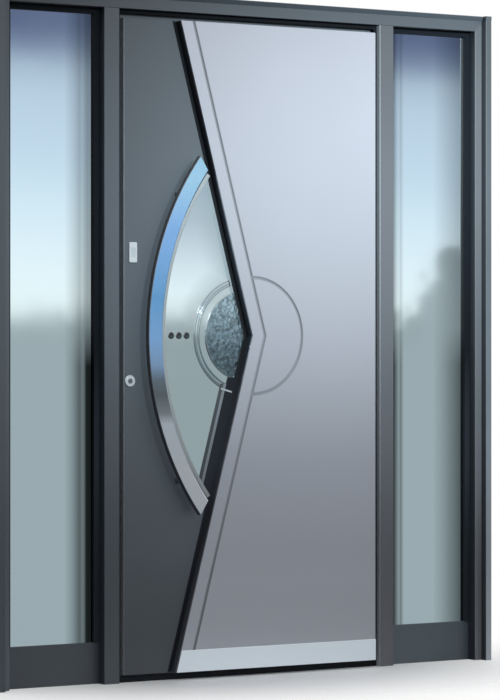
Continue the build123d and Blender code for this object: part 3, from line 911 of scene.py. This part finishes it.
def makeBow():
    reach = (bowHigh.z - bowLow.z) / 2
    outerAngle = math.asin(reach / bow["radius"])
    # the inner end lies where the slanted cut meets the inner arc
    cut = Vector((math.sin(bow["endSlant"]), -math.cos(bow["endSlant"])))
    outerEnd = Vector((-bow["radius"] * math.cos(outerAngle), reach))
    inner = bow["radius"] - bow["width"]
    along = outerEnd.dot(cut)
    length = -along - math.sqrt(along * along - bow["radius"] ** 2 + inner ** 2)
    innerEnd = outerEnd + cut * length
    innerAngle = math.atan2(innerEnd.y, -innerEnd.x)
    piece = grow(
        "bowHandle", arcBar, radius=bow["radius"] - bow["width"] / 2, width=bow["width"],
        depth=bowHigh.y - bowLow.y, round=bow["round"], halfAngle=outerAngle,
        slant=(innerAngle / outerAngle - 1) / bow["width"], segments=bow["segments"],
        center=(bowCenterX, (bowLow.y + bowHigh.y) / 2, tipZ), finish=bowFinish())
    # the sides and outer bevels are painted dark as shade
    piece.data.materials.append(plainFinish("bowSide", *bowSteel["sideCoat"]))
    settle(piece, "leaf", ["bow_handle"], bow["sharpDegrees"])
    for face in piece.data.polygons:
        outward = (face.center.x - bowCenterX) * face.normal.x + (face.center.z - tipZ) * face.normal.z > 0
        limit = bow["outerSide"] if outward else bow["innerSide"]
        face.material_index = 0 if abs(face.normal.y) > limit else 1


# Lines and dots on the lens glass
lensMarks = {
    "rings": [  # radius, width, share of the ring lines' painted tint taken off
        (0.2053, 0.0075, 0.0), (0.1883, 0.0075, 0.0), (0.1968, 0.0095, 0.35),
    ],
    "ringDepth": 0.0008,
    "ringShape": {"round": 0.0002, "halfAngle": math.radians(72.5), "segments": 73},
    # the ring lines are painted darker below the tip and paler above it, painted light as on the lens
    "ringLow": (0.27, 0.315, 0.32, 1),
    "ringHigh": (0.64, 0.70, 0.715, 1),
    "ringFade": 0.06,
    "ringRough": 0.06,
    "rimWidth": 0.0035,
    "rimFade": 0.0,
    "trimWidth": 0.014,
    "trimDepth": 0.0012,
    "trimShape": {"round": 0.0003, "segments": 97},
    "trimCoat": ((0.40, 0.42, 0.42), 0.4, 0.0),  # color, roughness, metal: pale, painted light standing for the light strip along the bow's inner edge
}
lensDots = {
    "start": -0.319,
    "step": 0.0315,
    "count": 3,
    "radius": 0.012,
    "depth": 0.0016,
    "profile": [(1.0, 0.0), (1.0, 0.5), (0.9, 0.85), (0.6, 1.0), (0.5, 0.8)],  # radius share, depth share
    "segments": 32,
    "coat": ((0.018, 0.022, 0.025), 0.35, 0.0),  # color, roughness, metal
}


def ringFinish(name, fade):
    look = lensMarks
    material, tree, shader = newFinish(name, Metallic=satinGlass["metal"], Roughness=look["ringRough"])
    height = placeGroup(tree, arrowDistance)["Height"]
    # painted light and shade by height
    level = remap(tree, height, tipZ - look["ringFade"], tipZ + look["ringFade"])
    tint = mixColor(tree, level, look["ringLow"], look["ringHigh"])
    feed(tree, shader["Base Color"], mixColor(tree, fade, tint, satinGlass["body"]))
    return material


def growLine(name, centerX, middle, **shape):
    line = grow(name, arcBar, slant=0.0, center=(centerX, middle, tipZ), **shape)
    settle(line, "leaf")


def makeLensMarks():
    marks, dots = lensMarks, lensDots
    for number, (radius, width, fade) in enumerate(marks["rings"]):
        growLine(
            "lensRing%d" % number, lensTipX, lensLow.y - marks["ringDepth"] / 2, radius=radius, width=width,
            depth=marks["ringDepth"], finish=ringFinish("ringLine%d" % number, fade), **marks["ringShape"])
    growLine(
        "discRim", lensTipX, discMiddle, radius=lensTipX - discLow.x + marks["rimWidth"] / 2,
        width=marks["rimWidth"], depth=discHigh.y - discLow.y,
        finish=ringFinish("rimLine", marks["rimFade"]), **marks["ringShape"])
    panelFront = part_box("dark_panel")[0].y
    lensRadius = bowCenterX - lensLow.x + lensFit
    growLine(
        "lensTrim", bowCenterX, panelFront - marks["trimDepth"] / 2,
        radius=lensRadius + marks["trimWidth"] / 2, width=marks["trimWidth"], depth=marks["trimDepth"],
        halfAngle=math.asin((lensHigh.z - tipZ) / lensRadius),
        finish=plainFinish("lensTrim", *marks["trimCoat"]), **marks["trimShape"])
    growRow(
        "lensDots", "leaf", "black_profile", lathe("dotShape", dots, -dots["depth"]),
        start=(dots["start"], lensLow.y, tipZ), count=dots["count"], step=(dots["step"], 0, 0),
        finish=plainFinish("dotBlack", *dots["coat"]))


# Narrow strips along the lens edge, and the end of the ring that crosses the black channel. The pale strip
# is painted light and the dark strip painted shade of the channel's lower edge; the upper strip carries the
# lens over the channel's edge above the tip in a painted shaded grey.
edgeStrips = {
    "wide": (0.0110, 0.0385),  # insets of each strip's two sides from the arrow edge
    # painted light of the channel's lower edge, lit from above
    "pale": (0.0385, 0.0500),
    # painted shade beside it
    "dark": (0.0500, 0.0625),
    # the lens carried over the channel's edge in a painted shaded grey
    "upper": (0.0131, 0.0264),
    "depth": 0.0012,
    "top": 1.036,
    "wideTop": 1.058,
    "upperLow": 1.318,
    "upperProud": 0.0001,
    "wideProud": 0.0003,
    "footBelow": 0.1,  # how far below the lens the search for its arc starts, and the steps it takes
    "footSteps": 40,
    "endStart": (0.0585, 1.0185),
    "endReach": (0.046, -0.0125),
    "endWidth": 0.006,
    "endDepth": 0.0006,
    "paleCoat": ((0.27, 0.285, 0.31), 0.35, 0.3),  # color, roughness, metal
    "darkCoat": ((0.060, 0.068, 0.075), 0.4, 0.0),
    "upperCoat": ((0.32, 0.365, 0.385), 0.4, 0.0),
    "endCoat": ((0.50, 0.52, 0.55), 0.35, 0.0),
}


def edgeX(inset, height):
    # X of a line parallel to the arrow edge, this far to its left
    return tipX - inset / math.cos(arrowAngle) - abs(height - tipZ) * math.tan(arrowAngle)


def lensFoot(inset):
    # height at which that line meets the lens arc, below the tip
    radius = bowCenterX - lensLow.x
    low, high = lensLow.z - edgeStrips["footBelow"], tipZ
    for step in range(edgeStrips["footSteps"]):
        middle = (low + high) / 2
        inside = math.hypot(edgeX(inset, middle) - bowCenterX, middle - tipZ) < radius
        low, high = (low, middle) if inside else (middle, high)
    return high


def stripOutline(near, far, end):
    # from this height to the lens arc, above the tip or below it as the height is
    feet = [lensFoot(inset) if end < tipZ else 2 * tipZ - lensFoot(inset) for inset in (near, far)]
    corners = zip((near, near, far, far), (end, *feet, end))
    return [(edgeX(inset, height), height) for inset, height in corners]


def makeEdgeStrips():
    strips = edgeStrips
    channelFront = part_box("arrow_channel")[0].y
    wideFront = channelFront - strips["wideProud"]
    front = lensLow.y - strips["depth"]
    upperFront = lensLow.y - strips["upperProud"]
    for name, slotName, face, end in (
            ("wide", "black_profile", wideFront, strips["wideTop"]),
            ("pale", "black_profile", front, strips["top"]),
            ("dark", "black_profile", front, strips["top"]),
            ("upper", "satin_glass", upperFront, strips["upperLow"])):
        coat = strips.get(name + "Coat")
        material = plainFinish(name + "Strip", *coat) if coat else finishes["arrow_channel"]
        outline = stripOutline(*strips[name], end)
        settle(slab(name + "Strip", outline, face, lensLow.y, material), "leaf")
    inset, height = strips["endStart"]
    begin = Vector((edgeX(inset, height), height))
    reach = Vector(strips["endReach"])
    half = Vector((0, strips["endWidth"] / 2))
    outline = [begin - half, begin + reach - half, begin + reach + half, begin + half]
    ringEnd = slab("ringEnd", outline, channelFront - strips["endDepth"], channelFront,
                   plainFinish("ringEnd", *strips["endCoat"]))
    settle(ringEnd, "leaf")


ripples = {
    "depth": 0.0012,
    "scale": 105.0,
    "stretch": (1.0, 1.0, 0.6),
}


def makeDisc():
    piece = grow(
        "rippledDisc", rippledSector, radius=lensTipX - discLow.x, shift=lensTipX - discHigh.x,
        halfAngle=math.pi / 2 - arrowAngle, thickness=discHigh.y - discLow.y, ripple=ripples["depth"],
        rippleScale=ripples["scale"], stretch=ripples["stretch"],
        center=(discHigh.x, discMiddle, tipZ), finish=finishes["textured_glass"])
    settle(piece, "leaf", ["textured_disc"])


def makeCasingCorners():
    # the side casings run up through the head casing
    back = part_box("head_casing")[1].y
    for side in ("left", "right"):
        low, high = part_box(side + "_casing")
        outline = [(low.x, high.z), (high.x, high.z), (high.x, cadHigh.z), (low.x, cadHigh.z)]
        corner = slab(side + "CasingCorner", outline, low.y, back, finishes[side + "_casing"])
        settle(corner, "frame")


# Screws on the hinge plates, the lock faceplate and the strike plate
screws = {
    "radius": 0.0038,
    "proud": 0.0012,
    "flush": 0.0003,
    "profile": [(1.0, 0.0), (1.0, 0.4), (0.8, 0.85), (0.5, 1.0), (0.46, 0.2)],  # radius share, height share
    "segments": 24,
    "plateInset": 0.014,
    "plateEdge": 0.012,
    "plateFace": 0.054,
    "hingeHalf": 0.048,
    "hingePitch": 0.865,
    "hingeCount": 2,
    "hinges": 3,
    "edgeInset": 0.03,
    "faceplateCount": 7,
    "strikeCount": 2,
}


def makeScrews():
    steel = finishes["stainless"]
    step = (0, 0, screws["hingeHalf"] - 2 * screws["plateEdge"])
    for node, body, hand in (("hinge_frame_plates", "frame", 1), ("hinge_leaf_plates", "leaf", -1)):
        low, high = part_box(node)
        across = high.x - screws["plateInset"] if hand > 0 else low.x + screws["plateInset"]
        growRow(
            body + "HingeScrews", body, "stainless", lathe("hingeScrew", screws, screws["proud"]),
            rows=screws["hinges"], rowStep=(0, 0, screws["hingePitch"]),
            start=(across, screws["plateFace"], low.z + screws["plateEdge"]),
            count=screws["hingeCount"], step=step, finish=steel)
    for node, body, count, side in (("lock_faceplate", "leaf", screws["faceplateCount"], -1),
                                    ("strike_plate", "frame", screws["strikeCount"], 1)):
        low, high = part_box(node)
        span = high.z - low.z - 2 * screws["edgeInset"]
        growRow(
            body + "EdgeScrews", body, "stainless", lathe("edgeScrew", screws, side * screws["flush"], "X"),
            start=(low.x if side < 0 else high.x, (low.y + high.y) / 2, low.z + screws["edgeInset"]),
            count=count, step=(0, 0, span / (count - 1)), finish=steel)


makeBow()
makeScrews()
makeLensMarks()
makeEdgeStrips()
makeDisc()
makeCasingCorners()
print("bow, screws, lens marks, edge strips, rippled disc and casing corners made")


# Floor, world, light and camera
floorSet = {
    "wide": 2.0,
    "deep": 1.15,
    "segments": 96,
    "fadeFrom": 0.05,
    "rough": 0.55,
    "cloudScale": 3.0,
    "color": (0.95, 0.98, 1.0, 1),
    "light": (0.97, 0.99, 1.0, 1),
}


def makeFloor():
    reach = (floorSet["wide"], floorSet["deep"], 1)
    mesh = bpy.data.meshes.new("floor")
    work = bmesh.new()
    bmesh.ops.create_circle(work, cap_ends=True, segments=floorSet["segments"], radius=1.0)
    bmesh.ops.scale(work, vec=reach, verts=work.verts)
    work.to_mesh(mesh)
    work.free()
    floor = newPiece("floor", mesh)
    material, tree, shader = newFinish("paleFloor", Roughness=floorSet["rough"])
    cloud = placeGrain(tree, floorSet)["Cloud"]
    feed(tree, shader["Base Color"], mixColor(tree, cloud, floorSet["color"], floorSet["light"]))
    share = vectorNode(tree, "DIVIDE", objectPlace(tree), reach)
    distance = addNode(tree, "ShaderNodeVectorMath", {0: share}, operation="LENGTH").outputs["Value"]
    feed(tree, shader["Alpha"], remap(tree, distance, floorSet["fadeFrom"], 1.0, 1.0, 0.0, smooth=True))
    mesh.materials.append(material)


# What mirrors see, in degrees of elevation and of bearing: bands of sky over a ragged hedge
skyBands = {
    "span": 8.0,
    "stops": [
        (0.9, (0.90, 0.99, 1.0)),
        (1.8, (0.82, 0.93, 0.99)),
        (2.7, (0.71, 0.85, 0.93)),
        (3.4, (0.62, 0.75, 0.87)),
        (4.6, (0.54, 0.66, 0.78)),
        (5.1, (0.46, 0.56, 0.67)),
        (5.5, (0.20, 0.25, 0.37)),
        (5.9, (0.11, 0.14, 0.24)),
    ],
    "leanFrom": 20.0,  # the bands sink to the right, between these bearings
    "leanTo": 40.0,
    "leanLow": -0.4,
    "leanHigh": 0.6,
    "endFrom": 6.6,  # past the bands, above and below, the tone is even
    "endTo": 9.0,
    "high": (1.0, 1.04, 1.08, 1),
    "deep": (0.10, 0.10, 0.115, 1),
}
hedge = {
    "low": 0.52,
    "rise": 1.2,
    "riseFrom": 34.9,
    "riseTo": 35.6,
    "ragged": 0.28,
    "raggedScale": 3.6,
    "raggedDetail": 6.0,
    "raggedFlat": 0.6,
    "sideways": 0.4,
    "blur": 0.08,
    "shade": 0.8,
    "top": (0.33, 0.39, 0.41, 1),
    "foot": (0.36, 0.425, 0.445, 1),
}
softLight = {"level": 0.125, "right": 0.14, "up": 0.55, "behind": 0.40, "behindReach": 0.5, "least": 0.02}


def mirroredColor(tree, place):
    elevation = mathNode(tree, "DEGREES", mathNode(tree, "ARCSINE", place["Z"]))
    outward = times(tree, place["Y"], -1.0)
    bearing = mathNode(tree, "DEGREES", mathNode(tree, "ARCTAN2", place["X"], outward))
    bands, span = skyBands, skyBands["span"]
    lean = remap(tree, bearing, bands["leanFrom"], bands["leanTo"], bands["leanLow"], bands["leanHigh"])
    level = divide(tree, plus(tree, elevation, lean), span)
    sky = colorRamp(tree, level, [(angle / span, color) for angle, color in bands["stops"]])
    sky = mixColor(tree, remap(tree, elevation, bands["endFrom"], bands["endTo"]), sky, bands["high"])
    spot = joinPlace(tree, X=bearing, Y=times(tree, elevation, hedge["raggedFlat"]))
    leaves = noise(tree, spot, hedge["raggedScale"], hedge["raggedDetail"])
    ragged = fromNoise(tree, leaves, -hedge["ragged"], hedge["ragged"])
    swayed = plus(tree, bearing, times(tree, ragged, hedge["sideways"]))
    rise = remap(tree, swayed, hedge["riseFrom"], hedge["riseTo"], 0.0, hedge["rise"], smooth=True)
    below = minus(tree, plus(tree, plus(tree, rise, ragged), hedge["low"]), elevation)
    ground = mixColor(tree, remap(tree, below, 0.0, hedge["shade"]), hedge["top"], hedge["foot"])
    sunk = remap(tree, elevation, -bands["endFrom"], -bands["endTo"])
    ground = mixColor(tree, sunk, ground, bands["deep"])
    return mixColor(tree, remap(tree, below, -hedge["blur"], hedge["blur"], smooth=True), sky, ground)


def softColor(tree, place):
    # soft light all round, more from the right, from above and from behind
    soft = plus(tree, times(tree, place["X"], softLight["right"]), softLight["level"])
    soft = plus(tree, soft, times(tree, place["Z"], softLight["up"]))
    behind = remap(tree, place["Y"], 0.0, softLight["behindReach"], 0.0, softLight["behind"])
    soft = greater(tree, plus(tree, soft, behind), softLight["least"])
    return addNode(tree, "ShaderNodeCombineColor", {"Red": soft, "Green": soft, "Blue": soft}).outputs[0]


def makeWorld():
    world = bpy.data.worlds.new("softStudio")
    scene.world = world
    world.use_nodes = True
    tree = world.node_tree
    place = splitPlace(tree, addNode(tree, "ShaderNodeTexCoord").outputs["Generated"])
    path = addNode(tree, "ShaderNodeLightPath").outputs
    mirrored = greater(tree, path["Is Glossy Ray"], path["Is Transmission Ray"])
    color = mixColor(tree, mirrored, softColor(tree, place), mirroredColor(tree, place))
    color = mixColor(tree, path["Is Camera Ray"], color, white)
    feed(tree, tree.nodes["Background"].inputs["Color"], color)


keyLight = {
    "place": (-0.2, -8.0, 3.6),
    "target": (1.15, 0.0, 1.95),
    "radius": 0.7,
    "power": 5900.0,
    "color": (0.84, 0.99, 1.06),
    "cone": 14.1,
    "blend": 1.0,
    "spread": 2.4,
    "roll": 19.0,
    "bowShadow": 0.35,
}


def makeLight():
    # two lamps in one place; the bow shadows only the weaker one, so that its shadow stays faint
    shadowless = bpy.data.collections.new("shadowless")
    shadowless.objects.link(bpy.data.objects["bowHandle"])
    shadowless.collection_objects[0].light_linking.link_state = "EXCLUDE"
    for name, share in (("softSpot", keyLight["bowShadow"]), ("fillSpot", 1.0 - keyLight["bowShadow"])):
        light = bpy.data.lights.new(name, "SPOT")
        light.shadow_soft_size = keyLight["radius"]
        light.energy = keyLight["power"] * share
        light.color = keyLight["color"]
        light.spot_size = math.radians(keyLight["cone"])
        light.spot_blend = keyLight["blend"]
        lamp = bpy.data.objects.new(name, light)
        lamp.location = keyLight["place"]
        aim = Vector(keyLight["target"]) - lamp.location
        turn = Quaternion((0, 0, 1), math.radians(keyLight["roll"]))
        lamp.rotation_euler = (aim.to_track_quat("-Z", "Y") @ turn).to_euler()
        lamp.scale.x = keyLight["spread"]
        scene.collection.objects.link(lamp)
    lamp.light_linking.blocker_collection = shadowless


photoCamera = {
    "place": (-5.874, -9.429, 1.173),
    "tilt": 90.0,
    "turn": -32.0,
    "lens": 160.05,
    "shiftY": -0.00714,
}


def makeCamera():
    camera = bpy.data.cameras.new("photoView")
    camera.lens = photoCamera["lens"]
    camera.shift_y = photoCamera["shiftY"]
    holder = bpy.data.objects.new("photoView", camera)
    holder.location = photoCamera["place"]
    holder.rotation_euler = (math.radians(photoCamera["tilt"]), 0, math.radians(photoCamera["turn"]))
    scene.collection.objects.link(holder)
    scene.camera = holder


makeFloor()
makeWorld()
makeLight()
makeCamera()
print("floor, world, light and camera made")
